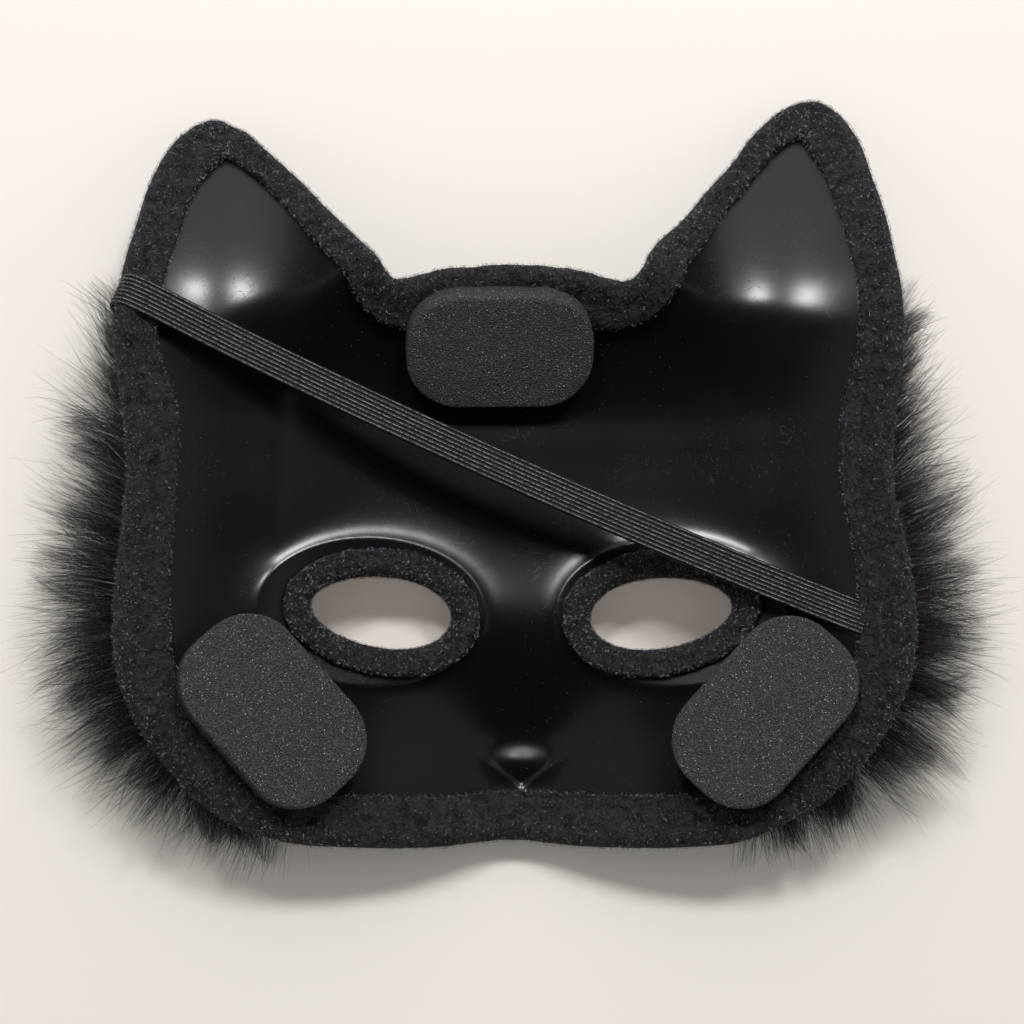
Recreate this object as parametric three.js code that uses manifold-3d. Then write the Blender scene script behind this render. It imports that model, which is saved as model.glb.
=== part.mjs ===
// A fox half mask lying face down: moulded shell, felt cover, foam pads, elastic strap and cheek fur.
// The wearer's side looks up, the ears point along +Y and the chin along -Y.
import * as THREE from 'three';
import { mergeVertices } from 'three/addons/utils/BufferGeometryUtils.js';
import Module from 'manifold-3d';

const wasm = await Module();
wasm.setup();

// Reach of the outline from the point between forehead and muzzle
const half_width = 96;
const chin_reach = 90;
const brow_reach = 51;
const left_ear_reach = 91;
const right_ear_reach = 98.5;

// Height of the relief, from the nose up to the sides of the rim
const face_depth = 38;

// Walls and gaps
const shell_wall = 1.2;
const felt_thick = 1.9;
const clearance = 0.35;
const hem_width = 12;

// Eyes, as cut in the felt
const eye_length = 34.8;
const eye_height = 17.6;
const eye_spacing = 68.8;
const eye_aside = 1.4;
const eye_drop = 33;
const eye_turn = 6;
const eye_ring = 6.8;
const eye_taper = 0.1;

// Foam pads
const pad_thick = 10;
const brow_long = 46;
const brow_wide = 30;
const cheek_long = 49;
const cheek_wide = 31;
const pad_corner = 13;
const pad_edge = 0.8;

// Elastic strap
const strap_width = 8;
const strap_thick = 1.2;
const strap_glued = 13;
const strap_tucked = 6;
const strap_sag = 4;

// Cheek fur
const fur_backing = 2.3;
const fur_band = 26;
const lock_length = 42;
const lock_width = 9;
const lock_sunk = 0.4;

// Fineness of the facets
const sheet_step = 10.5;
const face_rows = 17;
const ear_rows = 3;
const roll_sides = 6;
const eye_stations = 14;
const corner_steps = 3;
const steps_per_strap_point = 2;
const lock_sides = 4;
const locks_in_row = 10;

// Half outline from the chin up round the ear to the middle of the forehead. Heights are shares of
// the reach named in each row, distances from the middle are shares of half_width, and hem is the
// share of hem_width that is folded in there.
const outline_rows = [
  { reach: 'chin', up: -0.985, left: 0.000, right: 0.000, hem: 0.97 },
  { reach: 'chin', up: -1.003, left: 0.200, right: 0.180, hem: 1.02 },
  { reach: 'chin', up: -1.004, left: 0.420, right: 0.400, hem: 1.07 },
  { reach: 'chin', up: -0.990, left: 0.575, right: 0.560, hem: 1.02 },
  { reach: 'chin', up: -0.948, left: 0.698, right: 0.660, hem: 0.97 },
  { reach: 'chin', up: -0.875, left: 0.798, right: 0.775, hem: 0.97 },
  { reach: 'chin', up: -0.790, left: 0.872, right: 0.858, hem: 1.00 },
  { reach: 'chin', up: -0.680, left: 0.945, right: 0.928, hem: 1.03 },
  { reach: 'chin', up: -0.540, left: 0.998, right: 0.982, hem: 1.05 },
  { reach: 'chin', up: -0.390, left: 1.008, right: 0.996, hem: 1.05 },
  { reach: 'chin', up: -0.200, left: 0.996, right: 0.975, hem: 0.97 },
  { reach: 'chin', up: -0.020, left: 0.980, right: 0.942, hem: 0.93 },
  { reach: 'ear', up: 0.142, left: 0.991, right: 0.951, hem: 0.98 },
  { reach: 'ear', up: 0.318, left: 1.015, right: 0.971, hem: 0.80 },
  { reach: 'ear', up: 0.427, left: 1.016, right: 0.972, hem: 0.79 },
  { reach: 'ear', up: 0.545, left: 0.997, right: 0.962, hem: 0.82 },
  { reach: 'ear', up: 0.668, left: 0.973, right: 0.946, hem: 0.86 },
  { reach: 'ear', up: 0.784, left: 0.948, right: 0.922, hem: 0.88 },
  { reach: 'ear', up: 0.886, left: 0.912, right: 0.897, hem: 0.98 },
  { reach: 'ear', up: 0.962, left: 0.858, right: 0.854, hem: 0.96 },
  { reach: 'ear', up: 1.000, left: 0.795, right: 0.794, hem: 0.94 },
  { reach: 'ear', up: 0.972, left: 0.714, right: 0.705, hem: 0.80 },
  { reach: 'ear', up: 0.900, left: 0.642, right: 0.627, hem: 0.64 },
  { reach: 'ear', up: 0.826, left: 0.575, right: 0.572, hem: 0.62 },
  { reach: 'ear', up: 0.732, left: 0.498, right: 0.492, hem: 0.62 },
  { reach: 'ear', up: 0.646, left: 0.428, right: 0.422, hem: 0.65 },
  { reach: 'ear', up: 0.572, left: 0.362, right: 0.348, hem: 0.70 },
  { reach: 'brow', up: 0.935, left: 0.323, right: 0.288, hem: 0.84 },
  { reach: 'brow', up: 0.975, left: 0.190, right: 0.165, hem: 0.92 },
  { reach: 'brow', up: 1.000, left: 0.000, right: 0.000, hem: 1.00 },
];

// Relief along the middle: up is a share of chin_reach below zero and of brow_reach above, rise is
// the height there and side the strength of the curl towards the sides, both shares of face_depth.
const middle_rows = [
  { up: -1.05, rise: 0.37, side: 1.05 },
  { up: -0.85, rise: 0.36, side: 1.16 },
  { up: -0.67, rise: 0.32, side: 1.28 },
  { up: -0.44, rise: 0.27, side: 1.44 },
  { up: -0.22, rise: 0.22, side: 1.66 },
  { up: -0.06, rise: 0.203, side: 1.86 },
  { up: 0.16, rise: 0.200, side: 1.92 },
  { up: 0.39, rise: 0.215, side: 1.98 },
  { up: 0.63, rise: 0.34, side: 2.06 },
  { up: 0.82, rise: 0.53, side: 2.12 },
  { up: 1.00, rise: 0.73, side: 2.20 },
  { up: 2.10, rise: 1.80, side: 2.40 },
];

// Round dents of the relief: place and spread are shares of half_width across and chin_reach up, a
// negative depth is a bump.
const dents = [
  { name: 'muzzle', across: 0.01, up: -0.80, wide: 0.26, high: 0.29, deep: 0.34 },
  { name: 'bridge', across: 0.015, up: -0.42, wide: 0.13, high: 0.13, deep: -0.045 },
];

// Foam pads: place as shares of half_width and chin_reach, turn of the long side in degrees.
const pads = [
  { name: 'forehead_pad', across: -0.048, up: 0.395, turn: 0, long: brow_long, wide: brow_wide },
  { name: 'cheek_pad_left', across: -0.630, up: -0.645, turn: -47, long: cheek_long, wide: cheek_wide },
  { name: 'cheek_pad_right', across: 0.634, up: -0.645, turn: 47, long: cheek_long, wide: cheek_wide },
];

// Rows of fur locks: inset is a share of fur_band, drop the angle down in degrees, longer a share of
// lock_length.
const lock_rows = [
  { inset: 0.20, drop: 16, longer: 0.95 },
  { inset: 0.62, drop: 34, longer: 1.05 },
];

// Value of one column of a table at a given height, on a smooth curve through its rows.
function along_rows(rows, column, at) {
  const last = rows.length - 1;
  let low = 0;
  while (low < last - 1 && rows[low + 1].up < at) low += 1;
  const before = rows[Math.max(low - 1, 0)];
  const a = rows[low];
  const b = rows[low + 1];
  const after = rows[Math.min(low + 2, last)];
  const step = b.up - a.up;
  const t = (at - a.up) / step;
  const slope_a = (b[column] - before[column]) / (b.up - before.up) * step;
  const slope_b = (after[column] - a[column]) / (after.up - a.up) * step;
  return THREE.MathUtils.clamp(t, 0, 1) === t
    ? (2 * t ** 3 - 3 * t ** 2 + 1) * a[column] + (t ** 3 - 2 * t ** 2 + t) * slope_a
      + (3 * t ** 2 - 2 * t ** 3) * b[column] + (t ** 3 - t ** 2) * slope_b
    : a[column] + (b[column] - a[column]) * t;
}

// The lower of two heights, with the corner between them rounded over a span.
function lower_of(a, b, span) {
  const near = Math.max(span - Math.abs(a - b), 0) / span;
  return Math.min(a, b) - near * near * span / 4;
}

// Reach of the ear on the side of x.
function ear_reach(x) {
  return x < 0 ? left_ear_reach : right_ear_reach;
}

// Face bowl: the curve along the middle and the curl towards the sides.
const bowl_span = 1.2;
const bowl_limit = 0.97;
function bowl(x, y) {
  const up = y < 0 ? y / chin_reach : y / brow_reach;
  const across = Math.min(Math.abs(x) / (bowl_span * half_width), bowl_limit);
  const curl = 1 - Math.sqrt(1 - across * across);
  return face_depth * (along_rows(middle_rows, 'rise', up) + along_rows(middle_rows, 'side', up) * curl);
}

// Ear: a dish that is level in the middle of the ear and turns down over a fold at brow height.
const left_dish_middle = -0.735;
const right_dish_middle = 0.624;
const dish_turn = 4.9;
const dish_steep = 0.46;
const ear_rise = 0.67;
const ear_level = 0.04;
const ear_steep = 0.38;
const ear_fold = 0.915;
const ear_bend = 0.046;
function ear(x, y) {
  const middle = x < 0 ? left_dish_middle : right_dish_middle;
  const turned = THREE.MathUtils.clamp(dish_turn * (x / half_width - middle), -Math.PI, Math.PI);
  const dish = dish_steep * half_width / dish_turn * (1 - Math.cos(turned));
  const bend = ear_bend * half_width;
  const fold = bend * Math.log1p(Math.exp((y - ear_fold * brow_reach) / bend));
  return face_depth * ear_rise - ear_level * y - (ear_steep - ear_level) * fold + dish;
}

// Height of the shell's upper face. The corner between face and ear is sharper near the middle.
const foot_round = 5;
const foot_rounder = 8;
const foot_from = 0.45;
const foot_to = 0.70;
function height(x, y) {
  const rounder = THREE.MathUtils.smoothstep(Math.abs(x) / half_width, foot_from, foot_to);
  let z = lower_of(bowl(x, y), ear(x, y), foot_round + foot_rounder * rounder);
  for (const dent of dents) {
    const u = (x / half_width - dent.across) / dent.wide;
    const v = (y / chin_reach - dent.up) / dent.high;
    z -= face_depth * dent.deep * Math.exp(-u * u - v * v);
  }
  return z;
}

// Point at a distance off the shell's upper face, along its normal there.
function off_face(x, y, distance) {
  const e = shell_wall / 2;
  const slope_x = (height(x + e, y) - height(x - e, y)) / (2 * e);
  const slope_y = (height(x, y + e) - height(x, y - e)) / (2 * e);
  const normal = new THREE.Vector3(-slope_x, -slope_y, 1).normalize();
  return new THREE.Vector3(x, y, height(x, y)).addScaledVector(normal, distance);
}

// Closed smooth loop of the outline, moved inwards by a distance or by its hem.
function row_points(inset_of_row) {
  const points = [];
  for (const side of [-1, 1]) {
    const rows = side < 0 ? outline_rows : outline_rows.slice(1, -1).reverse();
    for (const row of rows) {
      const reach = { chin: chin_reach, brow: brow_reach, ear: ear_reach(side) }[row.reach];
      const across = side < 0 ? row.left : row.right;
      points.push({ x: side * across * half_width, y: row.up * reach, inset: inset_of_row(row, side) });
    }
  }
  return points.map((p, i) => {
    const before = points[(i + points.length - 1) % points.length];
    const after = points[(i + 1) % points.length];
    const run = new THREE.Vector2(after.x - before.x, after.y - before.y).normalize();
    return new THREE.Vector3(p.x + run.y * p.inset, p.y - run.x * p.inset, 0);
  });
}
function rim_loop(inset_of_row, per_row = 1) {
  const points = row_points(inset_of_row);
  const curve = new THREE.CatmullRomCurve3(points, true, 'centripetal');
  const stations = points.length * per_row;
  return curve.getPoints(stations).slice(0, stations).map((p) => new THREE.Vector2(p.x, p.y));
}

// Hem folded in at a row of the outline; on an ear it goes by how broad the ear is for its reach.
function hem_inset(row, side) {
  const broad = row.reach === 'ear' ? half_width / ear_reach(side) : 1;
  return row.hem * hem_width * broad;
}

// Loop of one eye, grown outwards by a distance: rounder at the outer end than at the inner.
function eye_loop(side, grow) {
  const points = [];
  for (let i = 0; i < eye_stations; i += 1) {
    const a = 2 * Math.PI * i / eye_stations;
    const taper = 1 - eye_taper * Math.cos(a);
    const u = (eye_length / 2 + grow) * Math.cos(a);
    const v = (eye_height / 2 * taper + grow) * Math.sin(a);
    const turn = THREE.MathUtils.degToRad(eye_turn);
    const out = u * Math.cos(turn) - v * Math.sin(turn);
    const up = u * Math.sin(turn) + v * Math.cos(turn);
    points.push(new THREE.Vector2(eye_aside + side * (eye_spacing / 2 + out), up - eye_drop));
  }
  return side < 0 ? points.reverse() : points;
}

// Conversions between three.js geometry and solids that can be joined and cut.
function welded(geometry) {
  geometry.deleteAttribute('normal');
  geometry.deleteAttribute('uv');
  return mergeVertices(geometry, 1e-5);
}
function solid_of(geometry) {
  const merged = welded(geometry);
  const vertProperties = new Float32Array(merged.attributes.position.array);
  const triVerts = new Uint32Array(merged.index.array);
  return new wasm.Manifold(new wasm.Mesh({ numProp: 3, vertProperties, triVerts }));
}
function main_body(solid) {
  return solid.decompose().sort((a, b) => b.volume() - a.volume())[0];
}
function mesh_of(solid, name, material) {
  const mesh = main_body(solid).getMesh();
  const geometry = new THREE.BufferGeometry();
  geometry.setAttribute('position', new THREE.BufferAttribute(mesh.vertProperties, 3));
  geometry.setIndex(new THREE.BufferAttribute(mesh.triVerts, 1));
  geometry.computeVertexNormals();
  const made = new THREE.Mesh(geometry, material);
  made.name = name;
  return made;
}

// Sheet that follows the face, between two distances off the shell's upper face.
const sheet_margin = 8;
function formed_sheet(upper, lower) {
  const low = -chin_reach - sheet_margin;
  const high = Math.max(left_ear_reach, right_ear_reach) + sheet_margin;
  const wide = 2 * (half_width + sheet_margin);
  const columns = Math.round(wide / sheet_step);
  const rows = face_rows + ear_rows;
  const geometry = welded(new THREE.BoxGeometry(columns, rows, 2, columns, rows, 1));
  const position = geometry.attributes.position;
  for (let i = 0; i < position.count; i += 1) {
    const x = position.getX(i) * wide / columns;
    const row = Math.round(position.getY(i) + rows / 2);
    const y = row <= face_rows
      ? low + (brow_reach - low) * row / face_rows
      : brow_reach + (high - brow_reach) * (row - face_rows) / ear_rows;
    const distance = position.getZ(i) > 0 ? upper : lower;
    const p = off_face(x, y, distance);
    position.setXYZ(i, p.x, p.y, p.z);
  }
  return solid_of(geometry);
}

// Upright prism over a loop, taller than the whole mask.
function prism(loop) {
  const tall = 8 * face_depth;
  const geometry = new THREE.ExtrudeGeometry(new THREE.Shape(loop), { depth: tall, bevelEnabled: false });
  geometry.translate(0, 0, -tall / 2);
  return solid_of(geometry);
}

// Distances off the shell's upper face of each layer
const shell_under = -shell_wall;
const cover_top = clearance + felt_thick;
const cover_under = shell_under - clearance - felt_thick;
const rim_round = (cover_top - cover_under) / 2;
const edge_inset = felt_thick + clearance;

// Moulded shell
function shell_solid(grow) {
  const sheet = formed_sheet(grow, shell_under - grow);
  let solid = sheet.intersect(prism(rim_loop(() => edge_inset - grow)));
  for (const side of [-1, 1]) solid = solid.subtract(prism(eye_loop(side, edge_inset - grow)));
  return solid;
}

// Outside of the felt cover as one full body, with its rolled rim
function cover_hull(grow) {
  const roll_path = rim_loop(() => rim_round).map((p) => off_face(p.x, p.y, (cover_top + cover_under) / 2));
  const roll_curve = new THREE.CatmullRomCurve3(roll_path, true, 'centripetal');
  const steps = roll_path.length;
  const roll = solid_of(new THREE.TubeGeometry(roll_curve, steps, rim_round + grow, roll_sides, true));
  const sheet = formed_sheet(cover_top + grow, cover_under - grow);
  return sheet.intersect(prism(rim_loop(() => rim_round))).add(roll);
}

// Felt cover: the front skin, the rolled rim with its hem, and the rings folded through the eyes
function felt_solid() {
  const inner = rim_loop(hem_inset);
  const open = formed_sheet(4 * rim_round, shell_under / 2).intersect(prism(inner));
  const rings = [-1, 1].map((side) => prism(eye_loop(side, eye_ring)));
  let solid = cover_hull(0).subtract(open.subtract(rings[0]).subtract(rings[1]));
  solid = solid.add(tuck_solid(0));
  for (const side of [-1, 1]) solid = solid.subtract(prism(eye_loop(side, 0)));
  return solid.subtract(shell_solid(clearance)).subtract(strap_solid(clearance));
}

// Foam pad: a block with round corners that follows what it is stuck on
function pad_shape(length, width) {
  const r = Math.min(pad_corner, width / 2 - pad_edge);
  const u = length / 2 - r;
  const v = width / 2 - r;
  const shape = new THREE.Shape();
  shape.absarc(u, v, r, 0, Math.PI / 2);
  shape.absarc(-u, v, r, Math.PI / 2, Math.PI);
  shape.absarc(-u, -v, r, Math.PI, 1.5 * Math.PI);
  shape.absarc(u, -v, r, 1.5 * Math.PI, 2 * Math.PI);
  return shape;
}
function pad_solid(pad) {
  const sunk = pad_thick;
  const deep = 4 * pad_thick;
  const geometry = new THREE.ExtrudeGeometry(pad_shape(pad.long, pad.wide), {
    depth: pad_thick + sunk - pad_edge, bevelThickness: pad_edge, bevelSize: pad_edge,
    bevelOffset: -pad_edge, bevelSegments: 1, curveSegments: corner_steps,
  });
  geometry.translate(0, 0, pad_edge - sunk);
  const x = pad.across * half_width;
  const y = pad.up * chin_reach;
  const centre = off_face(x, y, 0);
  const normal = off_face(x, y, 1).sub(centre);
  const turn = THREE.MathUtils.degToRad(pad.turn);
  const long_side = new THREE.Vector3(Math.cos(turn), Math.sin(turn), 0);
  long_side.addScaledVector(normal, -long_side.dot(normal)).normalize();
  const short_side = new THREE.Vector3().crossVectors(normal, long_side);
  geometry.applyMatrix4(new THREE.Matrix4().makeBasis(long_side, short_side, normal).setPosition(centre));
  const below_bare = formed_sheet(clearance, -deep);
  const below_hem = formed_sheet(cover_top + clearance, -deep);
  let bare = prism(rim_loop((row, side) => hem_inset(row, side) + clearance));
  for (const side of [-1, 1]) bare = bare.subtract(prism(eye_loop(side, eye_ring + clearance)));
  return solid_of(geometry).subtract(below_bare).subtract(below_hem.subtract(bare))
    .subtract(tuck_solid(clearance));
}

// Elastic strap: round the left rim, across the hollow and under the hem on the right
const strap_left = { across: -1.0, up: 0.47 };
const strap_right = { across: 0.885, up: -0.395 };
const strap_bow = 0.018;
const strap_wrap_degrees = [-80, -40, 0, 40, 75];
const strap_span_points = 6;
function strap_ends() {
  const left = new THREE.Vector2(strap_left.across * half_width, strap_left.up * left_ear_reach);
  const right = new THREE.Vector2(strap_right.across * half_width, strap_right.up * chin_reach);
  return { left, right, heading: right.clone().sub(left).normalize() };
}
function strap_path() {
  const { left, right, heading } = strap_ends();
  const lie = clearance + strap_thick / 2;
  const points = [];
  const start = left.clone().addScaledVector(heading, rim_round);
  for (const back of [strap_glued, strap_glued / 2]) {
    const p = start.clone().addScaledVector(heading, back);
    points.push(off_face(p.x, p.y, cover_under - lie));
  }
  const centre = off_face(start.x, start.y, (cover_top + cover_under) / 2);
  const normal = off_face(start.x, start.y, 1).sub(off_face(start.x, start.y, 0));
  const outward = new THREE.Vector3(-heading.x, -heading.y, 0);
  outward.addScaledVector(normal, -outward.dot(normal)).normalize();
  for (const degrees of strap_wrap_degrees) {
    const a = THREE.MathUtils.degToRad(degrees);
    const reach = rim_round + lie;
    const p = centre.clone().addScaledVector(outward, reach * Math.cos(a));
    points.push(p.addScaledVector(normal, reach * Math.sin(a)));
  }
  const from = points[points.length - 1].clone();
  const land = right.clone().addScaledVector(heading, -strap_tucked);
  const rest = lie + strap_thick / 2;
  const to = off_face(land.x, land.y, rest);
  const sideways = new THREE.Vector3(-heading.y, heading.x, 0);
  for (let i = 1; i <= strap_span_points; i += 1) {
    const share = i / (strap_span_points + 1);
    const p = from.clone().lerp(to, share);
    const belly = 4 * share * (1 - share);
    p.z -= strap_sag * belly;
    points.push(p.addScaledVector(sideways, -strap_bow * half_width * belly));
  }
  points.push(to);
  points.push(off_face(right.x, right.y, rest));
  return new THREE.CatmullRomCurve3(points, false, 'centripetal');
}
function strap_solid(grow) {
  const { heading } = strap_ends();
  const curve = strap_path();
  const steps = steps_per_strap_point * (curve.points.length - 1);
  const wide = strap_width + 2 * grow;
  const geometry = welded(new THREE.BoxGeometry(1, wide, strap_thick + 2 * grow, steps, 1, 1));
  const position = geometry.attributes.position;
  const sideways = new THREE.Vector3(-heading.y, heading.x, 0);
  for (let i = 0; i < position.count; i += 1) {
    const t = THREE.MathUtils.clamp(position.getX(i) + 0.5, 0, 1);
    const run = curve.getTangent(t);
    const upward = new THREE.Vector3().crossVectors(run, sideways);
    const p = curve.getPoint(t).addScaledVector(sideways, position.getY(i));
    p.addScaledVector(upward.normalize(), position.getZ(i));
    if (grow > 0 && t === 1) p.addScaledVector(run, grow);
    position.setXYZ(i, p.x, p.y, p.z);
  }
  return solid_of(geometry);
}

// Patch of felt that bulges over the tucked end of the strap
function tuck_solid(grow) {
  const { right, heading } = strap_ends();
  const sideways = new THREE.Vector2(-heading.y, heading.x);
  const half = strap_width / 2 + felt_thick + grow;
  const from = shell_wall - strap_tucked - grow;
  const to = felt_thick + grow;
  const corners = [[from, -half], [to, -half], [to, half], [from, half]];
  const loop = corners.map(([along, across]) => right.clone().addScaledVector(heading, along)
    .addScaledVector(sideways, across));
  const top = cover_top + 1.5 * strap_thick + grow;
  return formed_sheet(top, shell_under / 2).intersect(prism(loop));
}

// Cheek fur: a curved backing under the cheek with locks fused to it
const fur_top = 0.34;
const fur_foot = -0.90;
const fur_side = 0.5;
const fur_centre = -0.1;
const fur_spread = 0.75;
const lock_vary = 0.14;
const band_stations = 4;
function fur_solid(side, floor) {
  const top = fur_top * chin_reach;
  const foot = fur_foot * chin_reach;
  const edge = rim_loop(() => rim_round, band_stations)
    .filter((p) => side * p.x > fur_side * half_width && p.y < top && p.y > foot)
    .sort((a, b) => b.y - a.y);
  const centre = new THREE.Vector2(0, fur_centre * chin_reach);
  const outward = (p) => p.clone().sub(centre).normalize();
  const inward = (p, distance) => p.clone().addScaledVector(outward(p), -distance);
  const band = edge.concat(edge.map((p) => inward(p, fur_band)).reverse());
  const loop = band.filter((p, i) => i % band_stations === 0 || i === band.length - 1);
  const top_face = cover_under - clearance;
  const sheet = formed_sheet(top_face, top_face - fur_backing);
  let solid = sheet.intersect(prism(side < 0 ? loop : loop.reverse()));
  lock_rows.forEach((row, r) => {
    for (let i = 0; i < locks_in_row; i += 1) {
      const share = (i + (1 + r) / 2) / (locks_in_row + lock_rows.length / 4);
      const p = edge[Math.round(share * (edge.length - 1))];
      const root = inward(p, row.inset * fur_band);
      const lift = THREE.MathUtils.lerp(fur_spread, -fur_spread, share);
      const drop = -Math.tan(THREE.MathUtils.degToRad(row.drop));
      const run = new THREE.Vector3(outward(p).x, outward(p).y + lift, drop).normalize();
      const length = lock_length * row.longer * (1 - lock_vary + lock_vary * Math.sin(7 * i + 3 * r));
      const geometry = new THREE.ConeGeometry(lock_width / 2, length, lock_sides);
      geometry.translate(0, length / 2, 0);
      const turn = new THREE.Quaternion().setFromUnitVectors(new THREE.Vector3(0, 1, 0), run);
      geometry.applyQuaternion(turn);
      const start = off_face(root.x, root.y, top_face - lock_width / 2 + lock_sunk);
      geometry.translate(start.x, start.y, start.z);
      solid = solid.add(solid_of(geometry));
    }
  });
  return solid.subtract(cover_hull(clearance)).subtract(strap_solid(clearance)).subtract(floor);
}

// Materials
const shell_plastic = new THREE.MeshStandardMaterial({ color: 0x17171a, roughness: 0.28, metalness: 0 });
const felt_cloth = new THREE.MeshStandardMaterial({ color: 0x14161a, roughness: 0.95, metalness: 0 });
const pad_foam = new THREE.MeshStandardMaterial({ color: 0x3d3a38, roughness: 0.95, metalness: 0 });
const strap_elastic = new THREE.MeshStandardMaterial({ color: 0x121212, roughness: 0.7, metalness: 0 });
const fur_hair = new THREE.MeshStandardMaterial({ color: 0x1b1716, roughness: 0.8, metalness: 0 });

// Surface that the mask lies on: level with the lowest felt
const cover = felt_solid();
const table = cover.boundingBox().min[2];
const floor_depth = 4 * face_depth;
const floor_block = new THREE.BoxGeometry(6 * half_width, 6 * half_width, floor_depth);
floor_block.translate(0, 0, table - floor_depth / 2);
const floor = solid_of(floor_block);

const mask = new THREE.Group();
mask.add(mesh_of(shell_solid(0), 'mask_shell', shell_plastic));
mask.add(mesh_of(cover, 'felt_cover', felt_cloth));
for (const pad of pads) mask.add(mesh_of(pad_solid(pad), pad.name, pad_foam));
mask.add(mesh_of(strap_solid(0).subtract(shell_solid(clearance)), 'elastic_strap', strap_elastic));
mask.add(mesh_of(fur_solid(-1, floor), 'fur_left', fur_hair));
mask.add(mesh_of(fur_solid(1, floor), 'fur_right', fur_hair));

// The origin is under the middle of the box, on the surface that the mask lies on.
const box = new THREE.Box3().setFromObject(mask);
mask.position.set(-(box.min.x + box.max.x) / 2, -(box.min.y + box.max.y) / 2, -box.min.z);

export default mask;
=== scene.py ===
# %% [markdown]
# # A fox half mask, lying face down
#
# The CAD part gives the mask as plain solids. This lesson dresses them: a glossy moulded shell, a fuzzy
# felt cover with a rolled hem, speckled foam pads, a ribbed elastic and long fur. Each step makes one
# piece or one finish. Sizes are in millimetres, and become metres when a mesh is made.

# %% Load the frame
import math

import bmesh
import bpy
import numpy as np
from mathutils import Matrix, Vector


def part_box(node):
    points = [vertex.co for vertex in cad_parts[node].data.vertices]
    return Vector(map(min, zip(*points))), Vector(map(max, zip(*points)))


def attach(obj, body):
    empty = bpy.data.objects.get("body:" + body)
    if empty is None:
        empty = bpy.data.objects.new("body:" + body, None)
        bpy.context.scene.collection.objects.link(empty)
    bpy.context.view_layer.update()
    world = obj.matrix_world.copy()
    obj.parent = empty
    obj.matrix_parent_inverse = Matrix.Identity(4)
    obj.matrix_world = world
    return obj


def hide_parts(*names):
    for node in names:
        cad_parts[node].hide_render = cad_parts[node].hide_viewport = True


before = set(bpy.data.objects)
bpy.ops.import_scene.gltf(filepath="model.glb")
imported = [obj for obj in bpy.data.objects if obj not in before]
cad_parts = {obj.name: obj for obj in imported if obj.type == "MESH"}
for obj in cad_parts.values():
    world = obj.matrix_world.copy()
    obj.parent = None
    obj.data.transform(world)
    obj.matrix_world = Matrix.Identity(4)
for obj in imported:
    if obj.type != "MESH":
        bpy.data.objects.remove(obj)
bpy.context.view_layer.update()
MM = 0.001

# %% [markdown]
# ## Driving sizes
#
# A mould is cut from a few main sizes, and these are the sizes of the CAD part. They could be measured on
# the solids one by one. Typing them once here keeps every new piece where its solid is.

# %% Main sizes
HALF_WIDTH, CHIN_REACH, BROW_REACH = 96.0, 90.0, 51.0
EAR_REACH = {-1: 91.0, 1: 98.5}
FACE_DEPTH = 38.0
SHELL_WALL, FELT_THICK, CLEARANCE, HEM_WIDTH = 1.2, 1.9, 0.35, 12.0
EYE_LENGTH, EYE_HEIGHT, EYE_SPACING = 34.8, 17.6, 68.8
EYE_ASIDE, EYE_DROP, EYE_TURN, EYE_RING, EYE_TAPER = 1.4, 33.0, 6.0, 6.8, 0.1
COVER_TOP = CLEARANCE + FELT_THICK
COVER_UNDER = -SHELL_WALL - CLEARANCE - FELT_THICK
RIM_ROUND = (COVER_TOP - COVER_UNDER) / 2
RIM_MIDDLE = (COVER_TOP + COVER_UNDER) / 2

# %% [markdown]
# ## Outline
#
# The rim of the mask is one smooth closed line. It could be drawn as a curve by hand, but a short table
# of rows keeps it tied to the main sizes. A row gives the reach that it is a share of, the height, the
# distances from the middle on the left and the right, and the share of the hem folded in there.

# %% Rows of the outline
OUTLINE = [
    ("chin", -0.985, 0.000, 0.000, 0.97), ("chin", -1.003, 0.200, 0.180, 1.02),
    ("chin", -1.004, 0.420, 0.400, 1.07), ("chin", -0.990, 0.575, 0.560, 1.02),
    ("chin", -0.948, 0.698, 0.660, 0.97), ("chin", -0.875, 0.798, 0.775, 0.97),
    ("chin", -0.790, 0.872, 0.858, 1.00), ("chin", -0.680, 0.945, 0.928, 1.03),
    ("chin", -0.540, 0.998, 0.982, 1.05), ("chin", -0.390, 1.008, 0.996, 1.05),
    ("chin", -0.200, 0.996, 0.975, 0.97), ("chin", -0.020, 0.980, 0.942, 0.93),
    ("ear", 0.142, 0.991, 0.951, 0.98), ("ear", 0.318, 1.015, 0.971, 0.80),
    ("ear", 0.427, 1.016, 0.972, 0.79), ("ear", 0.545, 0.997, 0.962, 0.82),
    ("ear", 0.668, 0.973, 0.946, 0.86), ("ear", 0.784, 0.948, 0.922, 0.88),
    ("ear", 0.886, 0.912, 0.897, 0.98), ("ear", 0.962, 0.858, 0.854, 0.96),
    ("ear", 1.000, 0.795, 0.794, 0.94), ("ear", 0.972, 0.714, 0.705, 0.80),
    ("ear", 0.900, 0.642, 0.627, 0.64), ("ear", 0.826, 0.575, 0.572, 0.62),
    ("ear", 0.732, 0.498, 0.492, 0.62), ("ear", 0.646, 0.428, 0.422, 0.65),
    ("ear", 0.572, 0.362, 0.348, 0.70), ("brow", 0.935, 0.323, 0.288, 0.84),
    ("brow", 0.975, 0.190, 0.165, 0.92), ("brow", 1.000, 0.000, 0.000, 1.00),
]


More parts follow.
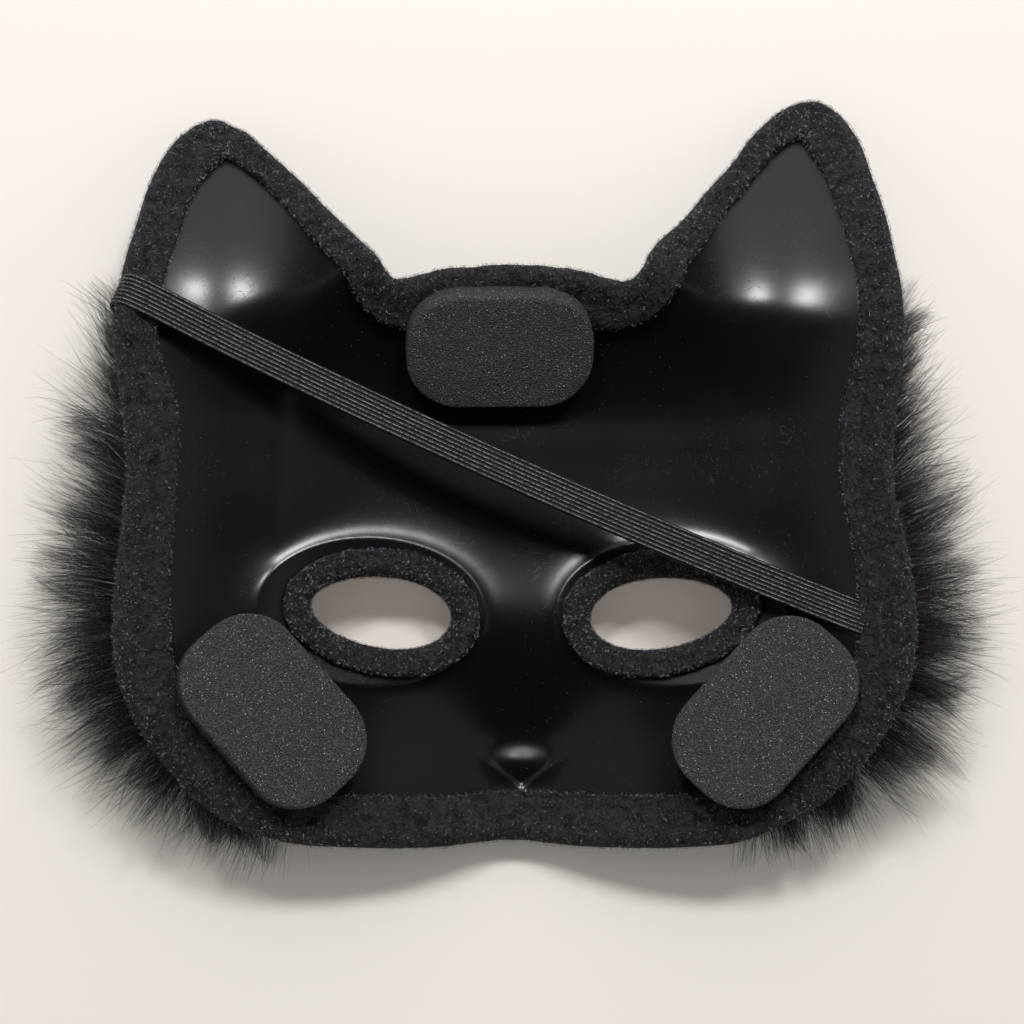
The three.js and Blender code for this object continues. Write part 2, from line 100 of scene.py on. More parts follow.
# %% A spline through rows
def smooth_curve(points, per, closed=True):
    """Points on a centripetal spline, per of them on each stretch."""
    points = np.asarray(points, float)
    if closed:
        ring = np.vstack([points[-1:], points, points[:2]])
    else:
        ring = np.vstack([2 * points[:1] - points[1:2], points, 2 * points[-1:] - points[-2:-1]])
    out = []
    for p0, p1, p2, p3 in zip(ring[:-3], ring[1:-2], ring[2:-1], ring[3:]):
        d0, d1, d2 = (np.sqrt(np.linalg.norm(b - a)) for a, b in ((p0, p1), (p1, p2), (p2, p3)))
        m1 = ((p1 - p0) / d0 - (p2 - p0) / (d0 + d1) + (p2 - p1) / d1) * d1
        m2 = ((p2 - p1) / d1 - (p3 - p1) / (d1 + d2) + (p3 - p2) / d2) * d1
        for t in np.arange(per) / per:
            a, b = 2 * t**3 - 3 * t**2 + 1, t**3 - 2 * t**2 + t
            out.append(a * p1 + b * m1 + (1 - a) * p2 + (t**3 - t**2) * m2)
    if not closed:
        out.append(points[-1])
    return np.array(out)


# %% The rim as a loop
def rim_loop(per=12):
    """The outline as a loop of x, y and hem width, clockwise seen from above."""
    rows = [(-1, row) for row in OUTLINE] + [(1, row) for row in OUTLINE[-2:0:-1]]
    points = []
    for side, (reach, up, left, right, hem) in rows:
        tall = {"chin": CHIN_REACH, "brow": BROW_REACH, "ear": EAR_REACH[side]}[reach]
        points.append((side * (left if side < 0 else right) * HALF_WIDTH, up * tall, hem * HEM_WIDTH))
    return smooth_curve(points, per)


def inset(loop, distance):
    """The loop's x and y moved inwards by a distance or by one distance per point."""
    run = np.roll(loop[:, :2], -1, 0) - np.roll(loop[:, :2], 1, 0)
    run /= np.linalg.norm(run, axis=1, keepdims=True)
    inward = np.stack([run[:, 1], -run[:, 0]], 1)
    return loop[:, :2] + inward * np.reshape(distance, (-1, 1))


rim = rim_loop()
print("outline points:", len(rim), "size:", np.ptp(rim[:, :2], 0).round(1))

# %% [markdown]
# ## Relief
#
# The shell is formed over a mould, so each place has one height. Sculpting would do it, but a sum of plain
# functions can be asked for the height and the normal anywhere. The face is a bowl along the middle that
# curls up to the sides, with dished ears that turn down over a fold, round dents, a lip round each eye and
# a low step at the nose.

# %% Bowl and ears
# Each row: share up the face, height of the middle as a share of the depth, and how much it curls.
MIDDLE = np.array([
    (-1.05, 0.37, 1.05), (-0.85, 0.36, 1.16), (-0.67, 0.32, 1.28), (-0.44, 0.27, 1.44),
    (-0.22, 0.22, 1.66), (-0.06, 0.203, 1.86), (0.16, 0.200, 1.92), (0.39, 0.215, 1.98),
    (0.63, 0.34, 2.06), (0.82, 0.53, 2.12), (1.00, 0.73, 2.20), (2.10, 1.80, 2.40),
])
# Each row: place across and up, half width and height as shares, and depth as a share.
DENTS = [
    (0.010, -0.800, 0.260, 0.290, 0.340),
    (0.015, -0.420, 0.130, 0.130, -0.045),
    (0.020, -0.775, 0.075, 0.045, -0.055),
]


# %% Values between the middle rows
def along_middle(column, up):
    """One column of the middle rows at the heights up, on a smooth curve."""
    ups, values = MIDDLE[:, 0], MIDDLE[:, column]
    last = len(ups) - 1
    i = np.clip(np.searchsorted(ups[1:], up), 0, last - 1)
    before, after = np.maximum(i - 1, 0), np.minimum(i + 2, last)
    step = ups[i + 1] - ups[i]
    t = (up - ups[i]) / step
    slope_a = (values[i + 1] - values[before]) / (ups[i + 1] - ups[before]) * step
    slope_b = (values[after] - values[i]) / (ups[after] - ups[i]) * step
    curve = ((2 * t**3 - 3 * t**2 + 1) * values[i] + (t**3 - 2 * t**2 + t) * slope_a
             + (3 * t**2 - 2 * t**3) * values[i + 1] + (t**3 - t**2) * slope_b)
    return np.where((t >= 0) & (t <= 1), curve, values[i] + (values[i + 1] - values[i]) * t)


def lower_of(a, b, span):
    """The lower of two heights, rounded where they meet."""
    near = np.maximum(span - np.abs(a - b), 0) / span
    return np.minimum(a, b) - near * near * span / 4


BOWL_SPAN, BOWL_LIMIT = 1.2, 0.97


def bowl(x, y):
    """Height of the face between the ears."""
    up = np.where(y < 0, y / CHIN_REACH, y / BROW_REACH)
    across = np.minimum(np.abs(x) / (BOWL_SPAN * HALF_WIDTH), BOWL_LIMIT)
    curl = 1 - np.sqrt(1 - across**2)
    return FACE_DEPTH * (along_middle(1, up) + along_middle(2, up) * curl)


DISH_MIDDLE = {-1: -0.735, 1: 0.624}
DISH_TURN, DISH_STEEP = 4.9, 0.46
EAR_RISE, EAR_LEVEL, EAR_STEEP, EAR_FOLD, EAR_BEND = 0.67, 0.04, 0.38, 0.915, 0.046


def ear(x, y):
    """A dish, level in the middle of the ear, that turns down over a fold at brow height."""
    middle = np.where(x < 0, DISH_MIDDLE[-1], DISH_MIDDLE[1])
    turned = np.clip(DISH_TURN * (x / HALF_WIDTH - middle), -np.pi, np.pi)
    dish = DISH_STEEP * HALF_WIDTH / DISH_TURN * (1 - np.cos(turned))
    bend = EAR_BEND * HALF_WIDTH
    fold = bend * np.logaddexp(0, (y - EAR_FOLD * BROW_REACH) / bend)
    return FACE_DEPTH * EAR_RISE - EAR_LEVEL * y - (EAR_STEEP - EAR_LEVEL) * fold + dish


# %% Lips, nose and the whole height
def beyond_ellipse(u, v, half_u, half_v):
    """Distance of a place beyond an ellipse, less than 0 inside."""
    q = np.hypot(u / half_u, v / half_v)
    steep = np.hypot(u / half_u**2, v / half_v**2) / np.maximum(q, 0.001)
    return (q - 1) / np.maximum(steep, 1 / half_u)


LIP_HIGH, LIP_REACH, LIP_FALL, LIP_SIZE, LIP_ASIDE = 1.35, 3.1, 0.10, (28.0, 18.3), 2.5
LIP_FALL_REACH = 6


def beyond_lip(x, y, side):
    """Distance of a place beyond the crest of one eye's lip."""
    u = side * (x - EYE_ASIDE) - EYE_SPACING / 2 - LIP_ASIDE
    return beyond_ellipse(u, y + EYE_DROP, *LIP_SIZE)


def brow_lip(x, y):
    """A lip round each eye: it flares up slowly from the face and has a sharp crest."""
    lip = 0
    for side in (-1, 1):
        d = beyond_lip(x, y, side)
        outside, inside = np.maximum(d, 0), np.minimum(np.maximum(-d, 0), LIP_FALL_REACH)
        lip = np.maximum(lip, LIP_HIGH * np.exp(-outside / LIP_REACH) - LIP_FALL * inside)
    return lip


# %% Nose
NOSE_STEP, NOSE_EDGE, NOSE_FLARE = 0.70, 0.50, 0.78
NOSE_ASIDE, NOSE_DROP, NOSE_WIDE, NOSE_HIGH = 0.022, 0.84, 0.10, 0.15


def nose_pit(x, y):
    """A low step along a V, fading out towards the ends of its arms."""
    aside = np.abs(x - NOSE_ASIDE * HALF_WIDTH)
    up = y + NOSE_DROP * CHIN_REACH
    inside = (up - NOSE_FLARE * aside) / math.hypot(1, NOSE_FLARE)
    step = NOSE_STEP / 2 * (1 + np.tanh(inside / NOSE_EDGE))
    wide, high = NOSE_WIDE * HALF_WIDTH, NOSE_HIGH * CHIN_REACH
    return step * np.exp(-((aside / wide) ** 4) - (np.maximum(up, 0) / high) ** 4)


# %% Height and normal
FOOT_FROM, FOOT_SPAN, FOOT_ROUND, FOOT_ROUNDER = 0.45, 0.25, 5, 8


def height(x, y):
    """Height of the shell's upper face in millimetres."""
    x, y = np.asarray(x, float), np.asarray(y, float)
    share = np.clip((np.abs(x) / HALF_WIDTH - FOOT_FROM) / FOOT_SPAN, 0, 1)
    span = FOOT_ROUND + FOOT_ROUNDER * share * share * (3 - 2 * share)
    z = lower_of(bowl(x, y), ear(x, y), span)
    for across, up, wide, high, deep in DENTS:
        u, v = (x / HALF_WIDTH - across) / wide, (y / CHIN_REACH - up) / high
        z = z - FACE_DEPTH * deep * np.exp(-u * u - v * v)
    return z + brow_lip(x, y) - nose_pit(x, y)


def face_normal(x, y):
    """Direction square to the shell's upper face."""
    e = SHELL_WALL / 2
    slope_x = (height(x + e, y) - height(x - e, y)) / (2 * e)
    slope_y = (height(x, y + e) - height(x, y - e)) / (2 * e)
    normal = np.stack([-slope_x, -slope_y, np.ones_like(slope_x)], -1)
    return normal / np.linalg.norm(normal, axis=-1, keepdims=True)


def off_face(x, y, distance):
    """Points at a distance off the shell's upper face, along its normal."""
    x, y = np.asarray(x, float), np.asarray(y, float)
    base = np.stack([x, y, height(x, y)], -1)
    return base + face_normal(x, y) * np.asarray(distance, float)[..., None]


# %% [markdown]
# ## Where the part frame starts
#
# The solids stand with the middle of their box over the origin, and the relief has an origin of its own.
# The shell's box, set against the outline and the relief, gives the move between the two.

# %% Move to the part frame
EDGE_INSET = FELT_THICK + CLEARANCE
shell_edge = inset(rim, EDGE_INSET)
shell_low, shell_high = (np.array(corner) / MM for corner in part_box("mask_shell"))
grid_x, grid_y = np.meshgrid(np.linspace(-40, 40, 161), np.linspace(-80, 45, 251))
lowest = (off_face(grid_x, grid_y, np.full(grid_x.shape, -SHELL_WALL)))[..., 2].min()
shift = np.array([
    (shell_low[0] + shell_high[0] - shell_edge[:, 0].min() - shell_edge[:, 0].max()) / 2,
    (shell_low[1] + shell_high[1] - shell_edge[:, 1].min() - shell_edge[:, 1].max()) / 2,
    shell_low[2] - lowest,
])
print("move to the part frame in mm:", shift.round(2))

# %% [markdown]
# ## Turning arrays into pieces
#
# A piece shaped with operators starts as a bmesh. A piece that is lofted through computed rings, or has
# thousands of hairs, starts as arrays, which are much faster. Both are made in the relief's millimetres
# and are moved to the part frame in metres at the end.

# %% Pieces from a bmesh and from arrays
PIECES = []


def to_object(bm, name, smooth=True):
    """A bmesh in relief millimetres as an object in the part frame."""
    move = Matrix.Diagonal((MM, MM, MM, 1)) @ Matrix.Translation(Vector(shift))
    bmesh.ops.transform(bm, matrix=move, verts=bm.verts)
    mesh = bpy.data.meshes.new(name)
    bm.to_mesh(mesh)
    bm.free()
    mesh.polygons.foreach_set("use_smooth", [smooth] * len(mesh.polygons))
    made = bpy.data.objects.new(name, mesh)
    bpy.context.scene.collection.objects.link(made)
    PIECES.append(made)
    return made


def from_arrays(verts, faces, name, smooth=True):
    """A piece from arrays of corners and of faces that all have as many sides."""
    mesh = bpy.data.meshes.new(name)
    verts = (np.asarray(verts, float).reshape(-1, 3) + shift) * MM
    sides = faces.shape[1]
    mesh.vertices.add(len(verts))
    mesh.vertices.foreach_set("co", verts.astype(np.float32).ravel())
    mesh.loops.add(faces.size)
    mesh.loops.foreach_set("vertex_index", faces.astype(np.int32).ravel())
    mesh.polygons.add(len(faces))
    mesh.polygons.foreach_set("loop_start", np.arange(0, faces.size, sides, dtype=np.int32))
    mesh.update(calc_edges=True)
    mesh.polygons.foreach_set("use_smooth", [smooth] * len(faces))
    made = bpy.data.objects.new(name, mesh)
    bpy.context.scene.collection.objects.link(made)
    PIECES.append(made)
    return made


def loft_faces(rings, around, close_rings=True, close_around=False):
    """Quads between rings of points; the rings and the points in them may close."""
    i = np.arange(rings if close_rings else rings - 1)[:, None]
    j = np.arange(around if close_around else around - 1)[None, :]
    i2, j2 = (i + 1) % rings, (j + 1) % around
    a, b, c, d = i * around + j, i * around + j2, i2 * around + j2, i2 * around + j
    return np.stack([a, b, c, d], -1).reshape(-1, 4)


# %% [markdown]
# ## Shell
#
# The real shell is a thin sheet of black plastic. A copy of the solid would do from afar, but a gloss shows
# every facet. So a fine flat grid is cut to the outline and the eyes, its ragged edge is pulled onto the
# loops, and it is cut finer near the lips. Then it gets its second face and its relief.

# %% Eye loops and a flat blank
def eye_loop(side, grow=0.0, count=72):
    """Loop of one eye, rounder at its outer end, grown outwards by a distance."""
    a = 2 * np.pi * np.arange(count) / count
    u = (EYE_LENGTH / 2 + grow) * np.cos(a)
    v = (EYE_HEIGHT / 2 * (1 - EYE_TAPER * np.cos(a)) + grow) * np.sin(a)
    turn = math.radians(EYE_TURN)
    out, up = u * math.cos(turn) - v * math.sin(turn), u * math.sin(turn) + v * math.cos(turn)
    loop = np.stack([EYE_ASIDE + side * (EYE_SPACING / 2 + out), up - EYE_DROP], 1)
    return loop if side > 0 else loop[::-1]


def is_inside(points, loop):
    """Which points lie inside a closed loop, by counting crossings."""
    x, y = points[:, 0][:, None], points[:, 1][:, None]
    x0, y0 = loop[:, 0][None], loop[:, 1][None]
    x1, y1 = np.roll(loop[:, 0], -1)[None], np.roll(loop[:, 1], -1)[None]
    spans = (y0 > y) != (y1 > y)
    cross = x0 + (y - y0) * (x1 - x0) / np.where(y1 == y0, 1e-9, y1 - y0)
    return (spans & (x < cross)).sum(1) % 2 == 1


BLANK_REACH, SHELL_STEP, FRONT_STEP = 110.0, 1.3, 2.0


def flat_blank(edge, holes, step):
    """A flat grid cut to an edge loop and hole loops, with its border pulled onto them."""
    bm = bmesh.new()
    count = int(2 * BLANK_REACH / step)
    bmesh.ops.create_grid(bm, x_segments=count, y_segments=count, size=BLANK_REACH)
    flat = np.array([v.co[:2] for v in bm.verts])
    keep = is_inside(flat, edge)
    for hole in holes:
        keep &= ~is_inside(flat, hole)
    bmesh.ops.delete(bm, geom=[v for v, k in zip(bm.verts, keep) if not k], context="VERTS")
    loose = [v for v in bm.verts if len(v.link_faces) < 2]
    bmesh.ops.delete(bm, geom=loose, context="VERTS")
    border = [v for v in bm.verts if v.is_boundary]
    targets = np.vstack([edge] + list(holes))
    for v in border:
        near = targets[np.argmin(((targets - np.array(v.co[:2])) ** 2).sum(1))]
        v.co.x, v.co.y = near
    bmesh.ops.remove_doubles(bm, verts=bm.verts, dist=step * 0.15)
    return bm


FINE_LIP, FINE_NOSE_X, FINE_NOSE_Y = (-2.5, 3.5), (2.1, 15), (-83, -58)


def near_fine_lines(x, y):
    """Whether a place is close to an eye lip or to the nose."""
    for side in (-1, 1):
        if FINE_LIP[0] < beyond_lip(x, y, side) < FINE_LIP[1]:
            return True
    return abs(x - FINE_NOSE_X[0]) < FINE_NOSE_X[1] and FINE_NOSE_Y[0] < y < FINE_NOSE_Y[1]


# %% Second face and relief
def form(bm, upper, lower):
    """Gives a flat blank its second face and lifts both faces to their distances off the relief."""
    made = bmesh.ops.extrude_face_region(bm, geom=bm.faces[:] + bm.edges[:] + bm.verts[:])
    under = [g for g in made["geom"] if isinstance(g, bmesh.types.BMVert)]
    bmesh.ops.translate(bm, verts=under, vec=(0, 0, -1))
    flat = np.array([v.co[:] for v in bm.verts])
    distance = np.where(flat[:, 2] < -0.5, lower, upper)
    for v, p in zip(bm.verts, off_face(flat[:, 0], flat[:, 1], distance)):
        v.co = p
    bmesh.ops.recalc_face_normals(bm, faces=bm.faces)


def dense(loop, per=6):
    """The same closed loop with more points on each stretch."""
    steps = np.arange(per)[None, :, None] / per
    return (loop[:, None] + (np.roll(loop, -1, 0) - loop)[:, None] * steps).reshape(-1, 2)


bm = flat_blank(dense(shell_edge), [dense(eye_loop(side, EDGE_INSET)) for side in (-1, 1)], SHELL_STEP)
fine = [e for e in bm.edges if near_fine_lines(*((e.verts[0].co + e.verts[1].co) / 2).xy)]
bmesh.ops.subdivide_edges(bm, edges=fine, cuts=2, use_grid_fill=True)
form(bm, 0.0, -SHELL_WALL)
shell = to_object(bm, "shell_moulding")
print("shell faces:", len(shell.data.polygons))

# %% [markdown]
# ## Felt
#
# The cover is one skin: from the hem's inner edge over the rolled rim and under the shell, then through
# each eye and back onto the shell as a ring. A bevelled sheet would be too even. Rings lofted round the
# rim can swell and dip, and slow waves keep the cut edges from looking drawn.

# %% Hem
rng = np.random.default_rng(7)


def slow_wave(count, turns, size):
    """A closed wavy line of numbers, as a sum of a few sines."""
    a = 2 * np.pi * np.arange(count) / count
    parts = [np.sin(n * a + rng.uniform(0, 6.3)) * rng.uniform(0.4, 1) for n in turns]
    return size * np.sum(parts, 0) / math.sqrt(len(parts))


# %% Unevenness
LUMP_WAVES = [(rng.normal(size=3), rng.uniform(2.2, 7.0), rng.uniform(0, 6.3)) for k in range(26)]


def lumps(points):
    """A soft uneven height from -1 to 1 at each point, as a sum of waves in all directions."""
    total = 0
    for way, length, start in LUMP_WAVES:
        total = total + np.sin(points @ (way / np.linalg.norm(way)) * 2 * np.pi / length + start)
    return total / math.sqrt(len(LUMP_WAVES))


def felt_band():
    """The hem as rings from its inner edge over the rim to the front."""
    count = len(rim)
    hem = rim[:, 2] + slow_wave(count, (5, 9, 14, 23, 41), 0.35)
    puff = slow_wave(count, (7, 13, 19, 37), 0.16)
    rings = [(hem, np.full(count, 0.05)), (hem, np.full(count, 0.9))]
    for a in np.linspace(0, np.pi / 2, 5):
        rings.append((hem - 0.8 * (1 - np.cos(a)) - 0.1, COVER_TOP - 0.8 + 0.8 * np.sin(a) + 0 * hem))
    for t in (0.75, 0.5, 0.25, 0.1):
        dip = -0.25 * np.sin(np.pi * t)
        rings.append((RIM_ROUND + (hem - RIM_ROUND - 1) * t, COVER_TOP + dip + puff * (1 - t)))
    for a in np.linspace(np.pi / 2, -np.pi / 2, 13):
        roll = RIM_ROUND + puff
        rings.append((RIM_ROUND - roll * np.cos(a), RIM_MIDDLE + roll * np.sin(a)))
    for wide in (4.5, 7.0):
        rings.append((np.full(count, wide), np.full(count, COVER_UNDER)))
    points = []
    for ins, off in rings:
        flat = inset(rim, np.maximum(ins, RIM_ROUND))
        for _ in range(8):
            eased = (np.roll(flat, 1, 0) + 2 * flat + np.roll(flat, -1, 0)) / 4
            flat = np.where(ins[:, None] > 6, eased, flat)
        p = off_face(flat[:, 0], flat[:, 1], off)
        beyond = np.maximum(RIM_ROUND - ins, 0)[:, None]
        outer = inset(rim, np.zeros(count)) - inset(rim, np.full(count, RIM_ROUND))
        outer3 = np.concatenate([outer, np.zeros((count, 1))], 1)
        normal = face_normal(flat[:, 0], flat[:, 1])
        outer3 -= normal * (outer3 * normal).sum(1, keepdims=True)
        outer3 /= np.linalg.norm(outer3, axis=1, keepdims=True)
        points.append(p + outer3 * beyond)
    grid = np.stack(points, 1)
    return grid + face_normal(grid[..., 0], grid[..., 1]) * (0.32 * lumps(grid))[..., None]


band = felt_band()
felt_hem = from_arrays(band, loft_faces(band.shape[0], band.shape[1]), "felt_hem")
print("hem faces:", len(felt_hem.data.polygons))

# %% Eye rings and front
def eye_band(side):
    """Felt from the front through the eye and out onto the shell as a ring."""
    count = 144
    ring = EYE_RING + slow_wave(count, (3, 5, 8, 13, 21), 0.3)
    sections = [(6.0 + 0 * ring, COVER_UNDER), (3.5 + 0 * ring, COVER_UNDER)]
    for a in np.linspace(-np.pi / 2, np.pi / 2, 13):
        sections.append((RIM_ROUND * (1 - np.cos(a)) + 0 * ring, RIM_MIDDLE + RIM_ROUND * np.sin(a)))
    for t in (0.35, 0.7):
        sections.append((RIM_ROUND + (ring - RIM_ROUND - 0.6) * t, COVER_TOP - 0.15 * t))
    for a in np.linspace(np.pi / 2, 0, 5):
        sections.append((ring - 0.6 * (1 - np.cos(a)), COVER_TOP - 0.75 + 0.6 * np.sin(a)))
    sections.append((ring + 0.1, 0.05))
    points = []
    for grow, off in sections:
        loops = [eye_loop(side, g, count)[i] for i, g in enumerate(grow)]
        loop = np.array(loops)
        points.append(off_face(loop[:, 0], loop[:, 1], np.full(count, off)))
    grid = np.stack(points, 1)
    return grid + face_normal(grid[..., 0], grid[..., 1]) * (0.25 * lumps(grid))[..., None]


eyes = {}
for side, word in ((-1, "left"), (1, "right")):
    eyes[side] = eye_band(side)
    from_arrays(eyes[side], loft_faces(*eyes[side].shape[:2])[:, ::-1], f"felt_eye_{word}")

front_eyes = [dense(eye_loop(side, 5.0)) for side in (-1, 1)]
bm = flat_blank(dense(inset(rim, RIM_ROUND)), front_eyes, FRONT_STEP)
form(bm, COVER_UNDER + FELT_THICK, COVER_UNDER)
felt_front = to_object(bm, "felt_front")
print("front felt faces:", len(felt_front.data.polygons))

# %% [markdown]
# ## Fibres
#
# Wool felt has loose fibres that catch the light at its edge. Particle hair could make them, but it isn't
# a mesh. Here a fibre is a flat ribbon of a few quads that narrows to its tip, and the same builder makes
# the short fuzz of the felt and the long hairs of the fur.

# %% Ribbons and fuzz
def ribbons(paths, width, name, taper=0.8):
    """One piece from many hair paths: paths is hairs by points by 3, width one per hair."""
    hairs, steps = paths.shape[:2]
    run = np.gradient(paths, axis=1)
    aside = np.cross(run, rng.normal(size=(hairs, 1, 3)))
    aside /= np.maximum(np.linalg.norm(aside, axis=2, keepdims=True), 1e-9)
    share = np.linspace(0, 1, steps)[None, :, None]
    half = width[:, None, None] / 2 * (1 - 0.92 * share) ** taper
    verts = np.stack([paths - aside * half, paths + aside * half], 2)
    base = np.arange(hairs)[:, None] * steps * 2 + np.arange(steps - 1)[None] * 2
    faces = np.stack([base, base + 1, base + 3, base + 2], -1).reshape(-1, 4)
    return from_arrays(verts, faces, name, smooth=False)


# %% Places on a lofted grid
def grid_spots(grid, count, first, last):
    """Random places and normals on a lofted grid, between two of its columns."""
    i = rng.integers(0, grid.shape[0], count)
    j = rng.integers(first, last, count)
    u, v = rng.random((2, count, 1))
    i2 = (i + 1) % grid.shape[0]
    a, b, c, d = grid[i, j], grid[i2, j], grid[i, j + 1], grid[i2, j + 1]
    spot = (a * (1 - u) + b * u) * (1 - v) + (c * (1 - u) + d * u) * v
    normal = np.cross(b - a + d - c, c - a + d - b)
    normal /= np.maximum(np.linalg.norm(normal, axis=1, keepdims=True), 1e-9)
    return spot, normal


def fuzz(spot, normal, long, lift, width, name):
    """Short curled fibres that lie on a surface and lift off it a little."""
    count = len(spot)
    lie = np.cross(normal, rng.normal(size=(count, 3)))
    lie /= np.linalg.norm(lie, axis=1, keepdims=True)
    turn = np.cross(normal, lie) * rng.uniform(-0.6, 0.6, (count, 1))
    length = rng.uniform(*long, (count, 1))
    rise = rng.uniform(*lift, (count, 1))
    t = np.linspace(0, 1, 4)[None, :, None]
    paths = (spot[:, None] + lie[:, None] * length[:, None] * t + turn[:, None] * length[:, None] * t**2
             + normal[:, None] * (rise[:, None] * np.sin(np.pi * np.minimum(t, 0.75)) + 0.02))
    return ribbons(paths, rng.uniform(*width, count), name)


spot, normal = grid_spots(band, 33000, 1, 23)
fuzz(spot, normal, (0.5, 1.7), (0.15, 0.75), (0.05, 0.10), "felt_fuzz_rim")
for side, word in ((-1, "left"), (1, "right")):
    spot, normal = grid_spots(eyes[side], 7000, 6, 21)
    fuzz(spot, -normal, (0.4, 1.3), (0.1, 0.5), (0.05, 0.09), f"felt_fuzz_eye_{word}")
print("fuzz pieces:", [len(o.data.polygons) for o in PIECES[-3:]])

# %% [markdown]
# ## Foam pads
#
# The pads are cut from a foam plate, so they have straight walls and round corners and don't bulge, and
# no cloth is simulated. Each is extruded from an outline, its top edge is softened and its face is made a
# little uneven. It stands on the relief along its normal, like the solids.

# %% Pads
PADS = {
    "forehead_pad": (-0.048, 0.395, 0, 46.0, 30.0),
    "cheek_pad_left": (-0.630, -0.645, -47, 49.0, 31.0),
    "cheek_pad_right": (0.634, -0.645, 47, 49.0, 31.0),
}
PAD_THICK, PAD_CORNER, PAD_EDGE = 10.0, 13.0, 0.8


def pad(name, across, up, turn, long, wide):
    """One pad at a place on the face, turned by degrees."""
    u, v = long / 2 - PAD_CORNER, wide / 2 - PAD_CORNER
    arcs = [(u, v, 0), (-u, v, 90), (-u, -v, 180), (u, -v, 270)]
    corners = [(cx + PAD_CORNER * math.cos(math.radians(start + 7.5 * k)),
                cy + PAD_CORNER * math.sin(math.radians(start + 7.5 * k)))
               for cx, cy, start in arcs for k in range(13)]
    bm = bmesh.new()
    verts = [bm.verts.new((x, y, -PAD_THICK * 0.6)) for x, y in corners]
    base = bm.faces.new(verts)
    made = bmesh.ops.extrude_face_region(bm, geom=[base])
    top = [g for g in made["geom"] if isinstance(g, bmesh.types.BMVert)]
    bmesh.ops.translate(bm, verts=top, vec=(0, 0, PAD_THICK * 1.6))
    rim_edges = [e for e in bm.edges if all(w.co.z > 0 for w in e.verts)]
    bmesh.ops.bevel(bm, geom=rim_edges, offset=PAD_EDGE, segments=3, profile=0.5, affect="EDGES",
                    material=-1)
    lid = max(bm.faces, key=lambda f: f.calc_center_median().z)
    for ring in (3.0, 3.0, 3.0):
        bmesh.ops.inset_region(bm, faces=[lid], thickness=ring, use_even_offset=True)
    for v in bm.verts:
        wave = 0.12 * math.sin(v.co.x * 0.5 + turn) + 0.1 * math.sin(v.co.y * 0.7 + across * 9)
        v.co.z += wave if v.co.z > 0 else 0
    x, y = across * HALF_WIDTH, up * CHIN_REACH
    centre = Vector(off_face(x, y, 0.0))
    up_axis = Vector(face_normal(np.array(x), np.array(y)))
    side = Vector((math.cos(math.radians(turn)), math.sin(math.radians(turn)), 0))
    side = (side - up_axis * side.dot(up_axis)).normalized()
    place = Matrix((side, up_axis.cross(side), up_axis)).transposed().to_4x4()
    bmesh.ops.transform(bm, matrix=Matrix.Translation(centre) @ place, verts=bm.verts)
    bmesh.ops.recalc_face_normals(bm, faces=bm.faces)
    return to_object(bm, name + "_foam")


pads = {name: pad(name, *row) for name, row in PADS.items()}
print("pads:", list(pads))

# %% [markdown]
# ## Elastic
#
# The strap wraps the left rim, spans the hollow and goes under the hem on the right. A curve with a bevel
# would twist at the rim. A section carried along a path with an upward direction of its own stays flat,
# and its eight ribs run along it.

# %% Strap
STRAP_WIDTH, STRAP_THICK, STRAP_GLUED, STRAP_TUCKED = 8.0, 1.2, 13.0, 6.0
STRAP_SAG, STRAP_BOW = 4.0, 0.018
STRAP_RIBS, RIB_POINTS = 8, 6
left_end = np.array([-1.0 * HALF_WIDTH, 0.47 * EAR_REACH[-1]])
right_end = np.array([0.885 * HALF_WIDTH, -0.395 * CHIN_REACH])
heading = (right_end - left_end) / np.linalg.norm(right_end - left_end)
sideways = np.array([-heading[1], heading[0], 0])


# %% The strap's path
def strap_path():
    """Middle line of the strap, from its glued end to its tucked end."""
    lie = CLEARANCE + STRAP_THICK / 2
    start = left_end + heading * RIM_ROUND
    glued = (STRAP_GLUED, STRAP_GLUED / 2)
    points = [off_face(*(start + heading * back), COVER_UNDER - lie) for back in glued]
    centre = off_face(*start, RIM_MIDDLE)
    normal = face_normal(*start)
    outward = np.array([-heading[0], -heading[1], 0])
    outward = outward - normal * outward.dot(normal)
    outward /= np.linalg.norm(outward)
    for degrees in (-80, -40, 0, 40, 75):
        a = math.radians(degrees)
        points.append(centre + (outward * math.cos(a) + normal * math.sin(a)) * (RIM_ROUND + lie))
    first = points[-1]
    rest = lie + STRAP_THICK / 2
    land = right_end - heading * STRAP_TUCKED
    last = off_face(*land, rest)
    for share in np.arange(1, 7) / 7:
        belly = 4 * share * (1 - share)
        p = first + (last - first) * share - sideways * STRAP_BOW * HALF_WIDTH * belly
        points.append(p - np.array([0, 0, STRAP_SAG * belly]))
    points += [last, off_face(*right_end, rest)]
    return smooth_curve(points, 14, closed=False)


path = strap_path()
run = np.gradient(path, axis=0)
run /= np.linalg.norm(run, axis=1, keepdims=True)
upward = np.cross(run, sideways)
upward /= np.linalg.norm(upward, axis=1, keepdims=True)
ribs = np.linspace(0, STRAP_RIBS, STRAP_RIBS * RIB_POINTS + 1)
swell = STRAP_THICK / 2 * (0.55 + 0.45 * np.abs(np.sin(np.pi * ribs)))
across = (ribs / STRAP_RIBS - 0.5) * STRAP_WIDTH
section = np.concatenate([np.stack([across, swell], 1), np.stack([across[::-1], -swell[::-1]], 1)])
strap = (path[:, None] + sideways * section[None, :, :1] + upward[:, None] * section[None, :, 1:])
strap_faces = loft_faces(*strap.shape[:2], close_rings=False, close_around=True)
strap_piece = from_arrays(strap, strap_faces, "elastic_band")
# The faces on each rib crest take pale dotted lines: a painted highlight along the crests.
rib_highlight_faces = np.zeros(strap.shape[1], np.int32)
rib_highlight_faces[RIB_POINTS // 2::RIB_POINTS] = 1
print("strap length in mm:", np.linalg.norm(np.diff(path, axis=0), axis=1).sum().round(1))

